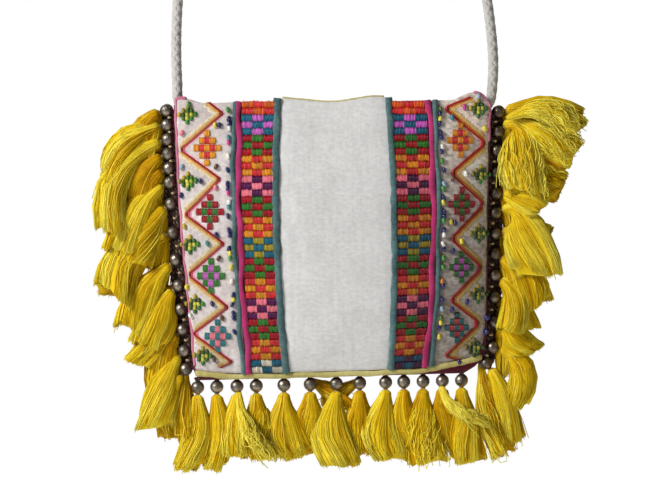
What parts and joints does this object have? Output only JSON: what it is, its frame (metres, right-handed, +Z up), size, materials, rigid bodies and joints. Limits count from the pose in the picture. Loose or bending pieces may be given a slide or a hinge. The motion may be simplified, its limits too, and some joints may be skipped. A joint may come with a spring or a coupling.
{
  "type": "tasselled shoulder purse",
  "caption": "Small square patchwork shoulder purse on a braided cord strap, open at the top, with embroidered bands, piped seams, metal beads and cotton tassels.",
  "frame": {"origin": "underside of the strap at its top, where the purse hangs", "axes": "+X to the right seen from the front, +Y from the front to the back, +Z up"},
  "size_m": [0.3017, 0.0334, 0.4653],
  "materials": {
    "pouch_cloth": "plain woven cotton, dark red",
    "centre_cotton": "plain woven cotton, white",
    "check_embroidery": "satin-stitch blocks in many colours",
    "zigzag_embroidery": "white cotton with zigzag lines and stepped diamonds",
    "teal_cloth": "folded cotton piping, teal",
    "rose_cloth": "folded cotton piping, rose",
    "yellow_cloth": "folded cotton piping, pale yellow",
    "cord_cotton": "braided cotton cord, white",
    "bead_metal": "antiqued, dull grey-brown",
    "tassel_cotton": "loose cotton thread, yellow",
    "seed_beads": "glossy glass seed beads"
  },
  "bodies": {
    "root": {"pouch": "pouch_cloth", "zigzag_band_left": "zigzag_embroidery", "check_band_left": "check_embroidery", "centre_panel": "centre_cotton", "check_band_right": "check_embroidery", "zigzag_band_right": "zigzag_embroidery", "outer_piping_left": "teal_cloth", "rose_piping_left": "rose_cloth", "inner_piping_left": "teal_cloth", "inner_piping_right": "teal_cloth", "rose_piping_right": "rose_cloth", "outer_piping_right": "teal_cloth", "hem_piping": "yellow_cloth", "mouth_binding": "yellow_cloth", "strap_cord": "cord_cotton", "fringe_left": "tassel_cotton", "fringe_right": "tassel_cotton", "fringe_bottom": "tassel_cotton", "bead_left_01": "bead_metal", "bead_left_02": "bead_metal", "bead_left_03": "bead_metal", "bead_left_04": "bead_metal", "bead_left_05": "bead_metal", "bead_left_06": "bead_metal", "bead_left_07": "bead_metal", "bead_left_08": "bead_metal", "bead_left_09": "bead_metal", "bead_left_10": "bead_metal", "bead_left_11": "bead_metal", "bead_left_12": "bead_metal", "bead_left_13": "bead_metal", "bead_left_14": "bead_metal", "bead_right_01": "bead_metal", "bead_right_02": "bead_metal", "bead_right_03": "bead_metal", "bead_right_04": "bead_metal", "bead_right_05": "bead_metal", "bead_right_06": "bead_metal", "bead_right_07": "bead_metal", "bead_right_08": "bead_metal", "bead_right_09": "bead_metal", "bead_right_10": "bead_metal", "bead_right_11": "bead_metal", "bead_right_12": "bead_metal", "bead_right_13": "bead_metal", "bead_bottom_01": "bead_metal", "bead_bottom_02": "bead_metal", "bead_bottom_03": "bead_metal", "bead_bottom_04": "bead_metal", "bead_bottom_05": "bead_metal", "bead_bottom_06": "bead_metal", "bead_bottom_07": "bead_metal", "bead_bottom_08": "bead_metal", "bead_bottom_09": "bead_metal", "bead_bottom_10": "bead_metal", "bead_bottom_11": "bead_metal", "bead_bottom_12": "bead_metal", "bead_bottom_13": "bead_metal"}
  },
  "joints": []
}
